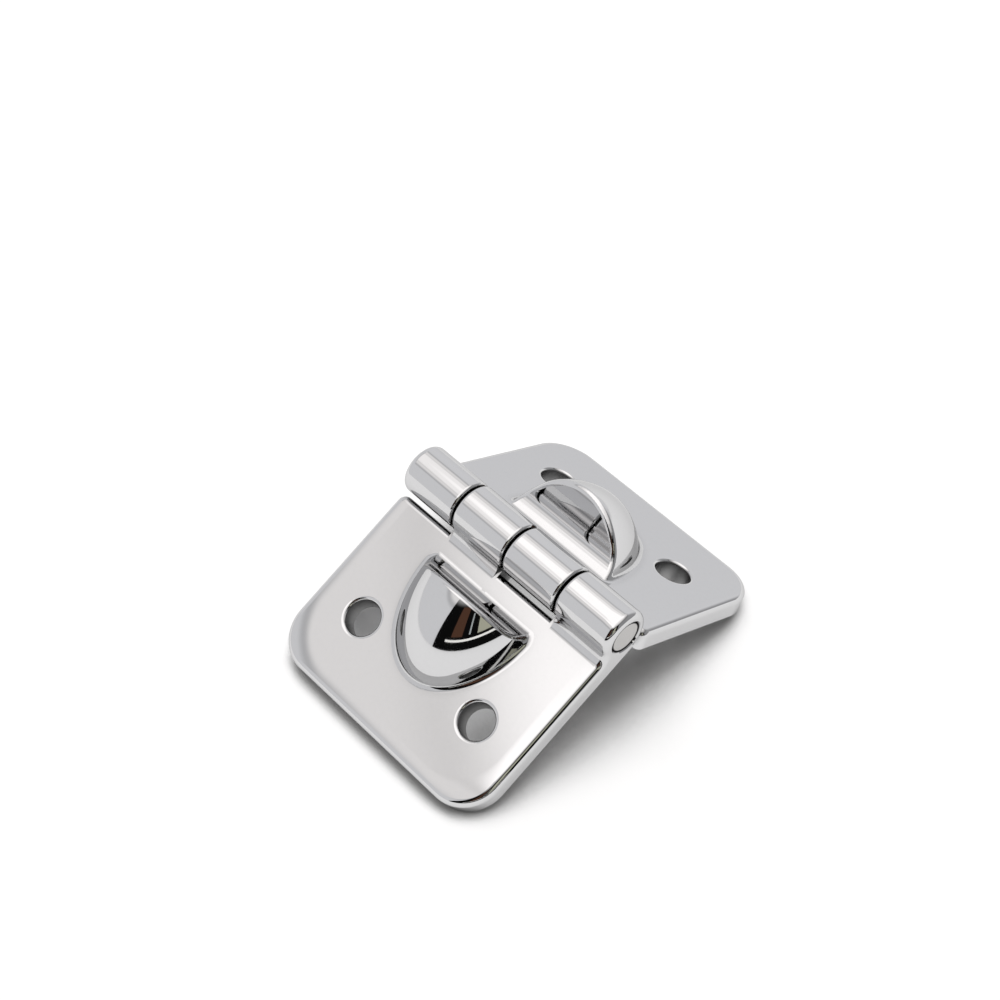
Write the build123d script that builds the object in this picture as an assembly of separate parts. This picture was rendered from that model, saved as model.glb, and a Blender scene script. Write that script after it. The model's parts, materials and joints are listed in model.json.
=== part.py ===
from build123d import *
import math
import os

# Lid support hinge: two identical cast leaves on one pin, each with a raised boss that stops the lid.
# Frame: X along the pin, Z up, origin on the floor under the middle of the pin.
# The hinge stands on the free edges of its leaves, with the barrel on top.
# Millimetres and degrees.

# Leaf
leaf_length = 50.0
leaf_reach = 40.0            # from the pin's axis to the free edge
leaf_thickness = 4.1
corner_radius = 7.5          # the two free corners, seen from above
edge_round = 1.2             # polished rounding of the upper edges
seat_edge_round = 0.4        # slight rounding at the mounting face
leaf_droop = 26.4            # slope of each leaf below level, as the hinge stands

# Screw holes
hole_diameter = 6.4
hole_spacing = 28.8
hole_reach = 26.3            # from the pin's axis
hole_rim_round = 0.7

# Barrel and pin
barrel_diameter = 9.4
knuckles_per_leaf = 2
knuckle_gap = 0.4            # between neighbouring knuckles
knuckle_end_round = 0.6      # where knuckles meet
notch_clearance = 0.7        # between a leaf's edge and the other leaf's knuckles
notch_corner_radius = 1.6    # where a notch runs out at the leaf's end
blend_radius = 2.5           # hollow blend from the leaf's top into its own knuckles
pin_diameter = 6.0
pin_clearance = 0.05         # radial, in every knuckle
pin_recess = 0.2             # pin's ends below the barrel's ends
pin_end_round = 0.35
bore_chamfer = 0.3

# Stop boss: the top of an egg-shaped body sunk in the leaf, cut off by a face that hollows out towards its foot
egg_half_width = 13.0
egg_half_length = 19.0       # towards the free edge
egg_half_height = 17.0
egg_depth = 6.6              # of the egg's middle below the leaf's top
egg_setback = 1.4            # from the egg's middle to the deepest place of the hollow
boss_face_reach = 12.1       # from the pin's axis to the deepest place of the hollow
boss_face_lean = 2.5         # of the flat part from upright, away from the barrel
hollow_radius = 5.2          # at the foot of the face
hollow_foot_slope = 30.0     # of the hollow where it meets the leaf
boss_rim_round = 1.0
boss_foot_round = 1.4

# Worked out from the above, in the leaf's own frame: origin on the pin's axis, Y towards the free edge
barrel_radius = barrel_diameter / 2
bore_radius = pin_diameter / 2 + pin_clearance
underside_z = -barrel_radius
top_z = underside_z + leaf_thickness
notch_reach = barrel_radius + notch_clearance
blend_z = top_z + blend_radius
blend_reach = math.sqrt((barrel_radius + blend_radius) ** 2 - blend_z ** 2)
egg_reach = boss_face_reach - egg_setback
hollow_reach = boss_face_reach - hollow_radius
hollow_z = top_z + hollow_radius * math.cos(math.radians(hollow_foot_slope))
knuckle_count = 2 * knuckles_per_leaf
knuckle_pitch = leaf_length / knuckle_count
tool_margin = leaf_reach     # how far cutting tools pass the leaf

droop = math.radians(leaf_droop)
pin_height = (
    (leaf_reach - seat_edge_round) * math.sin(droop)
    - (underside_z + seat_edge_round) * math.cos(droop)
    + seat_edge_round
)


def knuckle_span(index):
    """Ends along the pin of one knuckle: outer ends are flush with the leaf, inner ones leave half a gap."""
    start = -leaf_length / 2 + index * knuckle_pitch
    end = start + knuckle_pitch
    if index > 0:
        start += knuckle_gap / 2
    if index < knuckle_count - 1:
        end -= knuckle_gap / 2
    return start, end


def notch_span(index):
    """Ends along the pin of the notch that clears the other leaf's knuckle."""
    start = -leaf_length / 2 + index * knuckle_pitch - knuckle_gap / 2
    end = start + knuckle_pitch + knuckle_gap
    if index == knuckle_count - 1:
        end = leaf_length / 2 + tool_margin
    return start, end


def along_pin(section, start, end):
    """Extrudes a section drawn in the YZ plane from one place along the pin to another."""
    return extrude(Plane.YZ.offset(start) * section, end - start)


def blend_ends():
    """Centre of the hollow blend's arc, and where it meets the barrel and the leaf."""
    centre = Vector(blend_reach, blend_z)
    on_barrel = centre * (barrel_radius / (barrel_radius + blend_radius))
    on_leaf = Vector(blend_reach, top_z)
    return centre, on_barrel, on_leaf


def leaf_section():
    """Leaf, hollow blend and the near half of the barrel, from the upright plane through the pin outwards."""
    blend_centre, on_barrel, on_leaf = blend_ends()
    half_way = ((on_barrel - blend_centre) + (on_leaf - blend_centre)).normalized()
    crown_angle = (math.pi / 2 + math.atan2(on_barrel.Y, on_barrel.X)) / 2
    crown = Vector(math.cos(crown_angle), math.sin(crown_angle)) * barrel_radius
    outline = [
        Polyline((0, barrel_radius), (0, underside_z), (leaf_reach, underside_z), (leaf_reach, top_z), on_leaf),
        ThreePointArc(on_leaf, blend_centre + half_way * blend_radius, on_barrel),
        ThreePointArc(on_barrel, crown, (0, barrel_radius)),
    ]
    return make_face(outline)


def notch_section():
    """What is cut away beside the other leaf's knuckles: the leaf's root, and the blend above the leaf."""
    blend_end = blend_reach + blend_radius
    return make_face(
        Polyline(
            (-tool_margin, -tool_margin),
            (notch_reach, -tool_margin),
            (notch_reach, top_z),
            (blend_end, top_z),
            (blend_end, tool_margin),
            (-tool_margin, tool_margin),
            close=True,
        )
    )


def level_faces(body):
    """The leaf's flat faces from the lowest, its mounting face, to the highest, its top."""
    return body.faces().filter_by(Axis.Z).sort_by(Axis.Z)


def leaf_plate():
    """The leaf with its notches, rounded corners and rounded edges."""
    plate = along_pin(leaf_section(), -leaf_length / 2, leaf_length / 2)
    free_corners = plate.edges().filter_by(Axis.Z).group_by(Axis.Y)[-1]
    plate = fillet(free_corners, corner_radius)
    for index in range(1, knuckle_count, 2):
        plate -= along_pin(notch_section(), *notch_span(index))
    notch_corner = plate.edges().filter_by(Axis.Z).group_by(Axis.X)[-1]
    plate = fillet(notch_corner, notch_corner_radius)

    top_edges = level_faces(plate)[-1].edges().filter_by(Axis.X).group_by(Axis.Y)
    plate = plate.fillet(edge_round, top_edges[0] + top_edges[-1])
    seat_edges = level_faces(plate)[0].edges().filter_by(Axis.X).group_by(Axis.Y)
    return plate.fillet(seat_edge_round, seat_edges[-1])


def drill_holes(plate):
    """Screw holes near the free edge, with softly rounded rims."""
    for side in (-1, 1):
        plate -= Pos(side * hole_spacing / 2, hole_reach, 0) * Cylinder(hole_diameter / 2, tool_margin)
    rims = level_faces(plate)[-1].edges().filter_by(lambda edge: edge.is_closed)
    return plate.fillet(hole_rim_round, rims)


def barrel_half(start, end, rounded_end):
    """Far half of one knuckle, turned about the pin's axis, with a rounded outer end where it has one."""
    profile = Pos((start + end) / 2, barrel_radius / 2) * Rectangle(end - start, barrel_radius)
    if rounded_end:
        outer_corner = profile.vertices().group_by(Axis.Y)[-1].sort_by(Axis.X)[0]
        profile = fillet(outer_corner, edge_round)
    return Rot(X=90) * revolve(profile, Axis.X, 180)


def behind_face_section():
    """What lies behind the boss's face: a hollow at the foot that runs straight on up into the flat part."""
    lean = math.radians(boss_face_lean)
    half_way = (math.pi / 2 + lean) / 2
    centre = Vector(hollow_reach, hollow_z)
    low = centre + Vector(0, -hollow_radius)
    middle = centre + Vector(math.cos(half_way), -math.sin(half_way)) * hollow_radius
    flat_start = centre + Vector(math.cos(lean), -math.sin(lean)) * hollow_radius
    flat_end = flat_start + Vector(math.sin(lean), math.cos(lean)) * tool_margin
    far = 2 * tool_margin
    outline = [
        ThreePointArc(low, middle, flat_start),
        Polyline(flat_start, flat_end, (far, flat_end.Y), (far, low.Y), low),
    ]
    return make_face(outline)


def stop_boss():
    """Top of the egg with its face towards the barrel and a rounded rim round that face."""
    ball = Rot(X=-90) * Sphere(egg_half_height)
    egg = scale(ball, by=(egg_half_width / egg_half_height, egg_half_length / egg_half_height, 1))
    egg = Pos(0, egg_reach, top_z - egg_depth) * egg
    tool = 2 * tool_margin
    above_leaf = Pos(0, 0, top_z) * Box(tool, tool, tool, align=(Align.CENTER, Align.CENTER, Align.MIN))
    boss = egg & above_leaf & along_pin(behind_face_section(), -tool_margin, tool_margin)
    flat_and_hollow = boss.faces().filter_by(Axis.Z, reverse=True).sort_by(Axis.Y)[:2]
    rim = flat_and_hollow.edges().filter_by(Axis.X, reverse=True)
    return fillet(rim, boss_rim_round)


def add_boss(plate):
    """Joins the boss to the leaf with a hollow fillet all round its foot."""
    body = plate + stop_boss()
    foot = level_faces(body)[-1].inner_wires().sort_by(SortBy.LENGTH)[-1]
    return body.fillet(boss_foot_round, foot.edges())


def end_rounding(place, side):
    """What a knuckle loses at an inner end: the barrel's sharp edge, and the last bit of the blend beside it."""
    margin = knuckle_gap / 2
    turn = knuckle_end_round * math.sqrt(0.5)
    inside = place - side * knuckle_end_round
    outside = place + side * margin
    low = barrel_radius - knuckle_end_round
    high = barrel_radius + margin
    profile = make_face(
        [
            Polyline((inside, barrel_radius), (inside, high), (outside, high), (outside, low), (place, low)),
            ThreePointArc((place, low), (inside + side * turn, low + turn), (inside, barrel_radius)),
        ]
    )
    on_barrel = blend_ends()[1]
    start = math.degrees(math.atan2(on_barrel.Y, on_barrel.X))
    ring = Rot(X=start) * revolve(profile, Axis.X, 270 - start)
    width = blend_reach + blend_radius
    height = barrel_radius - top_z
    blend = Pos(width / 2, top_z + height / 2) * Rectangle(width, height)
    bit = along_pin(blend, min(inside, outside), max(inside, outside))
    return ring, bit - Rot(Y=90) * Cylinder(barrel_radius, leaf_length + tool_margin)


def add_knuckles(body):
    """Joins the far halves of the leaf's own knuckles, rounds their inner ends and bores them for the pin."""
    for index in range(0, knuckle_count, 2):
        start, end = knuckle_span(index)
        body += barrel_half(start, end, index == 0)
        inner_ends = [(end, 1)]
        if index > 0:
            inner_ends.append((start, -1))
        for place, side in inner_ends:
            for cut in end_rounding(place, side):
                body -= cut
    body -= Rot(Y=90) * Cylinder(bore_radius, leaf_length + tool_margin)
    mouth = Pos(X=-leaf_length / 2) * Rot(Y=90) * Cone(
        bore_radius + bore_chamfer, bore_radius, bore_chamfer, align=(Align.CENTER, Align.CENTER, Align.MIN)
    )
    return body - mouth


def leaf():
    """One whole leaf about its pin's axis, lying level."""
    return add_knuckles(add_boss(drill_holes(leaf_plate())))


def pin():
    """Plain pin about its own axis, with rounded ends just below the barrel's ends."""
    body = Rot(Y=90) * Cylinder(pin_diameter / 2, leaf_length - 2 * pin_recess)
    return fillet(body.edges().filter_by(GeomType.CIRCLE), pin_end_round)


# The pieces as the hinge stands: the second leaf is the first turned half round about the upright
on_pin = Pos(Z=pin_height)
lid_leaf = on_pin * Rot(X=-leaf_droop) * leaf()
base_leaf = Rot(Z=180) * lid_leaf
hinge_pin = on_pin * pin()

os.makedirs("parts", exist_ok=True)
export_step(base_leaf, "parts/base_leaf.step")
export_step(lid_leaf, "parts/lid_leaf.step")
export_step(hinge_pin, "parts/hinge_pin.step")
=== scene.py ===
import json
import math
import bpy
from mathutils import Euler, Matrix, Vector

# Lid support hinge in a white light tent, seen through the tent's opening. Metres, in the solids' frame.

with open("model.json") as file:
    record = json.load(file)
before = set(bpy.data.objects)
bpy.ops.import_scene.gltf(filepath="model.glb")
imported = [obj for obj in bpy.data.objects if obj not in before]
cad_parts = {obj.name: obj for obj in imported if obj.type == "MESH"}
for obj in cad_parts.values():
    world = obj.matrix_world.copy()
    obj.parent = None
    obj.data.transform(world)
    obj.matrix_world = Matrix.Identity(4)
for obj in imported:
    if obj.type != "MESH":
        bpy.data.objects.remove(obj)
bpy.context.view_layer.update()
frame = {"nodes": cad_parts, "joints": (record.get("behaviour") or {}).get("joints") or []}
nodes = frame["nodes"]
pin_centre = Vector(frame["joints"][0]["pos_m"])

# Camera: direction from the hinge, and where the pin's middle lies beside the optical axis
view_azimuth = math.radians(46.49)
view_elevation = math.radians(49.68)
view_roll = math.radians(0.91)
view_distance = 0.3475
pin_right_of_axis = 0.00351
pin_above_axis = -0.00827
sensor_width = 36.0
focal_length = 74.53
nearest_seen = 0.001

# Tent: brightness of its cloth, and where it changes. A place on the cloth is a unit vector from the hinge.
# Spans are given in that vector's Z, or in its X or Y where the name says right, front or back.
wall_level = 0.85
upper_wall_gain = 0.19
upper_wall_span = (0.70, 0.76)
fold_loss = 0.22
fold_height = 0.685
fold_half_width = 0.06
seam_loss = 0.10
seam_height = 0.795
seam_half_width = 0.02
lit_panel_gain = 0.6
lit_panel_span = (0.79, 0.835)
lit_panel_front_span = (-0.44, -0.30)
lit_panel_back_share = 0.4
ceiling_gain = 0.55
ceiling_span = (0.845, 0.885)
right_wall_loss = 0.50
right_wall_span = (-0.1, 0.4)
back_wall_gain = 0.06
back_wall_span = (0.3, 0.9)
low_tint = (0.98, 0.98, 1.0, 1)
high_tint = (1.0, 0.975, 0.965, 1)
tint_span = (0.66, 0.76)

# Opening in the tent and the dark room behind it. Angles in degrees, from the front and from level.
opening_azimuths = (0, 86)
opening_elevations = (-4, 57)
opening_soft_edge = 12
opening_colour = (1.0, 0.99, 0.98)
opening_glow = 0.005
opening_edge_glow = 0.85
room_radius = 0.8
things_radius = 0.784
card_steps = 24

# Paler things in the room: name, azimuths, elevations, colour and glow
things_in_room = (
    ("door", (23, 38), (15, 46), (0.5, 0.24, 0.15), 0.2),
    ("lamp", (46, 48), (16, 38), (0.8, 0.85, 0.85), 0.6),
    ("wall", (56, 72), (15, 42), (0.85, 0.84, 0.66), 0.6),
    ("bench", (16, 80), (9.5, 12), (1.0, 0.98, 0.94), 1.2),
)

# Floor: a grey sheet lifted to white by its glow, less so far away. Painted shadow dims the glow near the
# hinge, and painted light raises it again right under the hinge.
# Shadow spans are shares of open sky within reach.
floor_half_size = 2.0
floor_colour = (0.44, 0.44, 0.44, 1)
floor_lift = 0.70
far_lift_share = 0.75
far_span = (0.35, 0.9)
shadow_reach = 0.03
shadow_samples = 12
painted_shadow_span = (0.48, 0.73)
painted_shadow_lift_share = 0.02
under_hinge_painted_light_span = (0.05, 0.25)
under_hinge_painted_light_share = 0.75

# Metal: colours, roughness, and how much it still mirrors where it is seen edge-on
leaf_colour = (0.65, 0.65, 0.655)
leaf_roughness = 0.04
pin_colour = (0.56, 0.55, 0.54)
pin_roughness = 0.16
glancing_tint = (0.7, 0.7, 0.7, 1)

# Traces of buffing: soft clouds in the polish, and a fine grain in the colour
cloud_scale = 160.0
cloud_detail = 3.0
cloud_span = (0.3, 0.7)
cloud_roughness_spread = 0.4
cloud_bump_strength = 0.005
cloud_bump_distance = 0.0005
grain_scale = 1400.0
grain_detail = 2.0
grain_colour_share = 0.97

# Painted shade: the colour darkens in corners and crevices, where little open sky is within reach
corner_shade_colour = (0.1, 0.1, 0.1, 1)
corner_shade_reach = 0.0022
corner_shade_samples = 4
corner_shade_span = (0.35, 0.92)

# Leaf, in its own frame: origin on the pin's axis, Y towards the free edge, Z out of its face
leaf_droop = math.radians(26.4)
leaf_half_length = 0.025
leaf_reach = 0.040
leaf_face = -0.0006
leaf_thickness = 0.0041

# Screw holes: rougher walls, coloured with painted shade that is darkest at the rim and paler with depth
hole_spacing = 0.0288
hole_reach = 0.0263
hole_radius = 0.0032
hole_wall_margin = 0.00003
hole_wall_fade = 0.00017
hole_rim_shade_colour = (0.16, 0.16, 0.16, 1)
hole_foot_shade_colour = (0.60, 0.60, 0.60, 1)
hole_roughness = 0.4

# Boss's egg, and the part of its skin that shows, in shares of its half axes
egg_middle = (0.0, 0.0107, -0.0072)
egg_axes = (0.013, 0.019, 0.017)
egg_skin_span = (0.002, 0.006)
egg_outer_from = 0.05
egg_above_from = 0.38

# Polish rolled off along the base leaf's free edges
roll_corner = 0.012
roll_width = 0.0030
roll_depth = 0.00014

# Joint between the pin and its bores: painted shade, a dark line round the pin's ends where the gap is
pin_radius = 0.0030
pin_end_round = 0.00035
joint_radius = 0.0031
joint_fade = 0.00015
joint_shade_colour = (0.03, 0.03, 0.03, 1)

# Mix node: its first and second input and its output, for each kind of data
mix_sockets = {"VECTOR": (4, 5, 1), "RGBA": (6, 7, 2)}


def direction(azimuth, elevation):
    """Unit vector towards an azimuth counted from the front, and an elevation, both in radians."""
    level = math.cos(elevation)
    return Vector((math.sin(azimuth) * level, -math.cos(azimuth) * level, math.sin(elevation)))


def add_camera():
    """Camera at the photograph's viewing angle."""
    back = direction(view_azimuth, view_elevation)
    level_right = Vector((math.cos(view_azimuth), math.sin(view_azimuth), 0))
    level_up = back.cross(level_right)
    right = math.cos(view_roll) * level_right + math.sin(view_roll) * level_up
    up = math.cos(view_roll) * level_up - math.sin(view_roll) * level_right
    place = pin_centre + view_distance * back - pin_right_of_axis * right - pin_above_axis * up
    data = bpy.data.cameras.new("camera")
    data.sensor_fit = "HORIZONTAL"
    data.sensor_width = sensor_width
    data.lens = focal_length
    data.clip_start = nearest_seen
    camera = bpy.data.objects.new("camera", data)
    camera.matrix_world = Matrix.Translation(place) @ Matrix((right, up, back)).transposed().to_4x4()
    bpy.context.scene.collection.objects.link(camera)
    bpy.context.scene.camera = camera


class Nodes:
    """Short way to add nodes to a tree: sockets take numbers, colours or other nodes' outputs."""

    def __init__(self, tree):
        self.tree = tree
        tree.nodes.clear()

    def add(self, kind, sockets=None, **settings):
        """New node with its settings and sockets filled in."""
        node = self.tree.nodes.new(kind)
        for name, value in settings.items():
            setattr(node, name, value)
        for name, value in (sockets or {}).items():
            if isinstance(value, bpy.types.NodeSocket):
                self.tree.links.new(value, node.inputs[name])
            else:
                node.inputs[name].default_value = value
        return node

    def ramp(self, value, span, first, last):
        """Smooth step from one number to another while a value crosses a span."""
        sockets = {"Value": value, "From Min": span[0], "From Max": span[1], "To Min": first, "To Max": last}
        return self.add("ShaderNodeMapRange", sockets, interpolation_type="SMOOTHSTEP").outputs["Result"]

    def band(self, value, middle, half_width, height):
        """Soft band: its full height where a value is in the middle, nothing past the half width."""
        return self.ramp(self.distance(value, middle), (0.0, half_width), height, 0.0)

    def math(self, operation, first, second=0.0):
        """Arithmetic on one or two numbers."""
        return self.add("ShaderNodeMath", {0: first, 1: second}, operation=operation).outputs[0]

    def distance(self, first, second):
        """How far apart two numbers are."""
        return self.math("ABSOLUTE", self.math("SUBTRACT", first, second))

    def vector_math(self, operation, first, second):
        """Arithmetic on two vectors."""
        return self.add("ShaderNodeVectorMath", {0: first, 1: second}, operation=operation).outputs[0]

    def axes(self, vector):
        """The three parts of a vector, by name."""
        return self.add("ShaderNodeSeparateXYZ", {"Vector": vector}).outputs

    def flat_vector(self, x, y):
        """Vector in the XY plane."""
        return self.add("ShaderNodeCombineXYZ", {"X": x, "Y": y}).outputs[0]

    def length(self, vector):
        """Length of a vector."""
        return self.add("ShaderNodeVectorMath", {0: vector}, operation="LENGTH").outputs["Value"]

    def mix(self, factor, first, second, kind="RGBA"):
        """Blend of two colours or vectors."""
        first_input, second_input, output = mix_sockets[kind]
        sockets = {"Factor": factor, first_input: first, second_input: second}
        return self.add("ShaderNodeMix", sockets, data_type=kind).outputs[output]


def light_tent():
    """World: white cloth with a fold and a seam round it, brighter above and in front, dimmer right."""
    world = bpy.data.worlds.new("tent")
    world.use_nodes = True
    bpy.context.scene.world = world
    n = Nodes(world.node_tree)
    axes = n.axes(n.add("ShaderNodeTexCoord").outputs["Generated"])
    height = axes["Z"]
    wall = n.ramp(height, upper_wall_span, wall_level, wall_level + upper_wall_gain)
    fold = n.band(height, fold_height, fold_half_width, fold_loss)
    seam = n.band(height, seam_height, seam_half_width, seam_loss)
    front = n.ramp(axes["Y"], lit_panel_front_span, lit_panel_gain, lit_panel_back_share * lit_panel_gain)
    panel = n.math("MULTIPLY", n.ramp(height, lit_panel_span, 0.0, 1.0), front)
    ceiling = n.math("MAXIMUM", panel, n.ramp(height, ceiling_span, 0.0, ceiling_gain))
    right = n.ramp(axes["X"], right_wall_span, 0.0, right_wall_loss)
    back = n.ramp(axes["Y"], back_wall_span, 0.0, back_wall_gain)
    level = n.math("SUBTRACT", n.math("SUBTRACT", wall, fold), n.math("ADD", seam, right))
    level = n.math("ADD", level, n.math("ADD", ceiling, back))
    tint = n.mix(n.ramp(height, tint_span, 0.0, 1.0), low_tint, high_tint)
    cloth = n.add("ShaderNodeBackground", {"Color": tint, "Strength": level}).outputs[0]
    n.add("ShaderNodeOutputWorld", {"Surface": cloth})


def glowing(name, colour, glow, edge_glow=None):
    """Plain light of a card, even or rising softly to its glow at the opening's upper edge."""
    material = bpy.data.materials.new(name)
    material.use_nodes = True
    n = Nodes(material.node_tree)
    if edge_glow is not None:
        height = n.axes(n.add("ShaderNodeTexCoord").outputs["Object"])["Z"]
        upper_edge = opening_elevations[1]
        soft_from = room_radius * math.sin(math.radians(upper_edge - opening_soft_edge))
        soft_to = room_radius * math.sin(math.radians(upper_edge))
        glow = n.ramp(height, (soft_from, soft_to), glow, edge_glow)
    light = n.add("ShaderNodeEmission", {"Color": (*colour, 1), "Strength": glow}).outputs[0]
    n.add("ShaderNodeOutputMaterial", {"Surface": light})
    return material


def card(name, azimuths, elevations, radius, material):
    """Patch of the room round the tent, unseen by the camera itself. Angles in degrees."""
    points = []
    for i in range(card_steps + 1):
        elevation = math.radians(elevations[0] + (elevations[1] - elevations[0]) * i / card_steps)
        for j in range(card_steps + 1):
            azimuth = math.radians(azimuths[0] + (azimuths[1] - azimuths[0]) * j / card_steps)
            points.append(direction(azimuth, elevation) * radius)
    faces = []
    for i in range(card_steps):
        for j in range(card_steps):
            corner = i * (card_steps + 1) + j
            faces.append((corner, corner + 1, corner + card_steps + 2, corner + card_steps + 1))
    mesh = bpy.data.meshes.new(name)
    mesh.from_pydata(points, [], faces)
    mesh.materials.append(material)
    patch = bpy.data.objects.new(name, mesh)
    patch.visible_camera = False
    bpy.context.scene.collection.objects.link(patch)


def room():
    """What the polished metal shows through the tent's opening: a dark room with a few paler things in it."""
    dark = glowing("opening", opening_colour, opening_glow, opening_edge_glow)
    card("opening", opening_azimuths, opening_elevations, room_radius, dark)
    for name, azimuths, elevations, colour, glow in things_in_room:
        card(name, azimuths, elevations, things_radius, glowing(name, colour, glow))


def floor():
    """White sheet with the hinge's soft shadow, cast in its grey and painted in its glow, and as white in the
    metal as to the camera.
    """
    mesh = bpy.data.meshes.new("floor")
    reach = floor_half_size
    corners = [(-reach, -reach, 0), (reach, -reach, 0), (reach, reach, 0), (-reach, reach, 0)]
    mesh.from_pydata(corners, [], [(0, 1, 2, 3)])
    material = bpy.data.materials.new("floor")
    material.use_nodes = True
    n = Nodes(material.node_tree)
    paths = n.add("ShaderNodeLightPath").outputs
    seen = n.math("MAXIMUM", paths["Is Camera Ray"], paths["Is Glossy Ray"])
    seen = n.math("MAXIMUM", seen, paths["Is Transmission Ray"])
    nearby = {"Distance": shadow_reach}
    open_sky = n.add("ShaderNodeAmbientOcclusion", nearby, samples=shadow_samples).outputs["AO"]
    place = n.add("ShaderNodeTexCoord").outputs["Object"]
    away = n.length(n.vector_math("MULTIPLY", place, (1, 1, 0)))
    white = n.ramp(away, far_span, floor_lift, far_lift_share * floor_lift)
    # Painted shadow in the glow near the hinge, and painted light right under it
    shadow = n.ramp(open_sky, painted_shadow_span, painted_shadow_lift_share, 1.0)
    under_hinge = n.ramp(open_sky, under_hinge_painted_light_span, under_hinge_painted_light_share, 0.0)
    lift = n.math("MULTIPLY", n.math("MULTIPLY", seen, white), n.math("ADD", shadow, under_hinge))
    paper = n.add("ShaderNodeBsdfDiffuse", {"Color": floor_colour}).outputs[0]
    glow = n.add("ShaderNodeEmission", {"Color": (1, 1, 1, 1), "Strength": lift}).outputs[0]
    surface = n.add("ShaderNodeAddShader", {0: paper, 1: glow}).outputs[0]
    n.add("ShaderNodeOutputMaterial", {"Surface": surface})
    mesh.materials.append(material)
    sheet = bpy.data.objects.new("floor", mesh)
    bpy.context.scene.collection.objects.link(sheet)


def rolled_edge(n, axes):
    """Height of the polished face at a place on the leaf: it falls off a little to the free edges."""
    along = n.math("SUBTRACT", n.math("ABSOLUTE", axes["X"]), leaf_half_length - roll_corner)
    across = n.math("SUBTRACT", axes["Y"], leaf_reach - roll_corner)
    inside = n.math("MINIMUM", n.math("MAXIMUM", along, across), 0.0)
    outside = n.length(n.flat_vector(n.math("MAXIMUM", along, 0.0), n.math("MAXIMUM", across, 0.0)))
    inset = n.math("SUBTRACT", roll_corner, n.math("ADD", outside, inside))
    near = n.math("MAXIMUM", n.math("SUBTRACT", 1.0, n.math("DIVIDE", inset, roll_width)), 0.0)
    return n.math("MULTIPLY", n.math("POWER", near, 2.0), -roll_depth)


def hole_wall(n, axes):
    """1 on the walls of the screw holes, 0 elsewhere on the leaf."""
    along = n.math("SUBTRACT", n.math("ABSOLUTE", axes["X"]), hole_spacing / 2)
    across = n.math("SUBTRACT", axes["Y"], hole_reach)
    wall_end = hole_radius + hole_wall_margin
    return n.ramp(n.length(n.flat_vector(along, across)), (wall_end, wall_end + hole_wall_fade), 1.0, 0.0)


def painted_joint_shade(n, place, on_pin):
    """1 where painted shade darkens the rounded rim of the pin's ends, or the rim of its bores, and 0
    elsewhere.
    """
    off_axis = n.vector_math("MULTIPLY", n.vector_math("SUBTRACT", place, pin_centre), (0, 1, 1))
    if on_pin:
        end_radius = pin_radius - pin_end_round
        return n.ramp(n.length(off_axis), (end_radius, end_radius + joint_fade), 0.0, 1.0)
    return n.ramp(n.length(off_axis), (joint_radius, joint_radius + joint_fade), 1.0, 0.0)


def egg_normal(n, on_leaf, tilt):
    """Smooth normal on the boss's egg, and the mesh's own elsewhere."""
    sockets = {"Vector": on_leaf, "Location": egg_middle, "Scale": egg_axes}
    on_ball = n.add("ShaderNodeMapping", sockets, vector_type="TEXTURE").outputs[0]
    sockets = {"Vector": on_ball, "Rotation": tilt, "Scale": egg_axes}
    outward = n.add("ShaderNodeMapping", sockets, vector_type="NORMAL").outputs[0]
    on_skin = n.ramp(n.distance(n.length(on_ball), 1.0), egg_skin_span, 1.0, 0.0)
    axes = n.axes(on_ball)
    outer_side = n.math("GREATER_THAN", axes["Y"], egg_outer_from)
    above_leaf = n.math("GREATER_THAN", axes["Z"], egg_above_from)
    on_egg = n.math("MULTIPLY", on_skin, n.math("MULTIPLY", outer_side, above_leaf))
    own = n.add("ShaderNodeTexCoord").outputs["Normal"]
    normal = n.mix(on_egg, own, outward, kind="VECTOR")
    settings = {"vector_type": "NORMAL", "convert_from": "OBJECT", "convert_to": "WORLD"}
    return n.add("ShaderNodeVectorTransform", {"Vector": normal}, **settings).outputs[0]


def noise(n, place, scale, detail):
    """Cloudy pattern between 0 and 1."""
    return n.add("ShaderNodeTexNoise", {"Vector": place, "Scale": scale, "Detail": detail}).outputs["Fac"]


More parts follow.
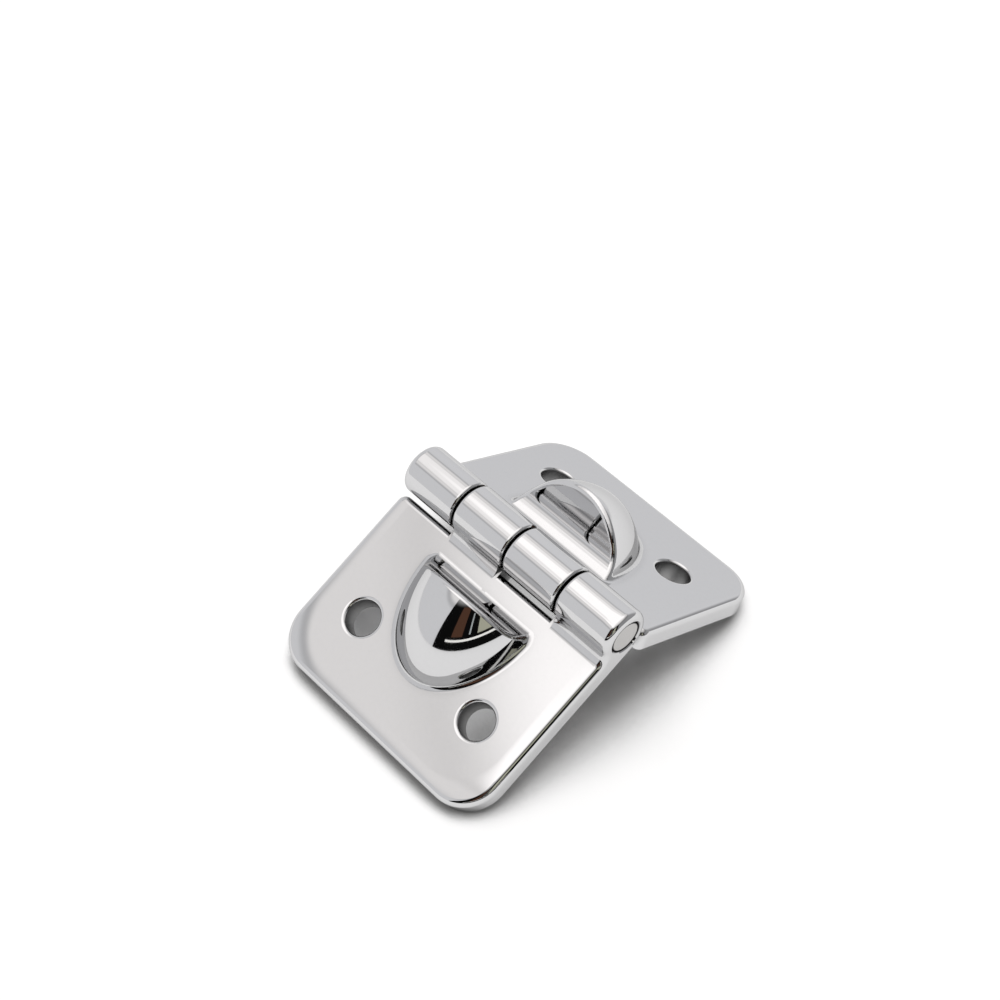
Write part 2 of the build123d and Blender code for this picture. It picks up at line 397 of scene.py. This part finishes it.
def polished(name, colour, roughness, turn=None, rolled=False):
    """Mirror-polished metal. A leaf has a turn about the vertical, and may have its free edges rolled."""
    material = bpy.data.materials.new(name)
    material.use_nodes = True
    n = Nodes(material.node_tree)
    place = n.add("ShaderNodeTexCoord").outputs["Object"]
    clouds = noise(n, place, cloud_scale, cloud_detail)
    grain = noise(n, place, grain_scale, grain_detail)
    smoothest = roughness * (1 - cloud_roughness_spread)
    roughest = roughness * (1 + cloud_roughness_spread)
    sheen = n.ramp(clouds, cloud_span, smoothest, roughest)
    tone = n.mix(grain, (*(grain_colour_share * c for c in colour), 1), (*colour, 1))
    # Painted shade in corners and crevices, from how much open sky is within reach
    nearby = {"Distance": corner_shade_reach}
    open_sky = n.add("ShaderNodeAmbientOcclusion", nearby, samples=corner_shade_samples).outputs["AO"]
    tone = n.mix(n.ramp(open_sky, corner_shade_span, 0.0, 1.0), corner_shade_colour, tone)
    bump = {"Strength": cloud_bump_strength, "Distance": cloud_bump_distance, "Height": clouds}
    if turn is not None:
        tilt = Euler((-leaf_droop, 0.0, turn))
        sockets = {"Vector": place, "Location": pin_centre, "Rotation": tilt}
        on_leaf = n.add("ShaderNodeMapping", sockets, vector_type="TEXTURE").outputs[0]
        axes = n.axes(on_leaf)
        # Painted shade on the screw holes' walls: darkest at the rim, paler with depth
        wall = hole_wall(n, axes)
        depth = n.ramp(axes["Z"], (leaf_face, leaf_face - leaf_thickness), 0.0, 1.0)
        tone = n.mix(wall, tone, n.mix(depth, hole_rim_shade_colour, hole_foot_shade_colour))
        sheen = n.math("MAXIMUM", sheen, n.math("MULTIPLY", wall, hole_roughness))
        bump["Normal"] = egg_normal(n, on_leaf, tilt)
    # Painted shade: a dark line in the gap between the pin and its bores
    tone = n.mix(painted_joint_shade(n, place, on_pin=turn is None), tone, joint_shade_colour)
    normal = n.add("ShaderNodeBump", bump).outputs["Normal"]
    if rolled:
        roll = {"Strength": 1.0, "Distance": 1.0, "Height": rolled_edge(n, axes), "Normal": normal}
        normal = n.add("ShaderNodeBump", roll).outputs["Normal"]
    sockets = {"Base Color": tone, "Metallic": 1.0, "Roughness": sheen}
    sockets.update({"Specular Tint": glancing_tint, "Normal": normal})
    metal = n.add("ShaderNodeBsdfPrincipled", sockets).outputs[0]
    n.add("ShaderNodeOutputMaterial", {"Surface": metal})
    return material


def dress():
    """Polish on every node; only the base leaf's shows the rolled-off edges."""
    finishes = {
        "base_leaf": polished("base_polish", leaf_colour, leaf_roughness, turn=math.pi, rolled=True),
        "lid_leaf": polished("lid_polish", leaf_colour, leaf_roughness, turn=0.0),
        "hinge_pin": polished("pin_polish", pin_colour, pin_roughness),
    }
    for name, material in finishes.items():
        mesh = nodes[name].data
        mesh.materials.clear()
        mesh.materials.append(material)


add_camera()
light_tent()
room()
floor()
dress()

scene = bpy.context.scene
scene.view_settings.view_transform = "Standard"
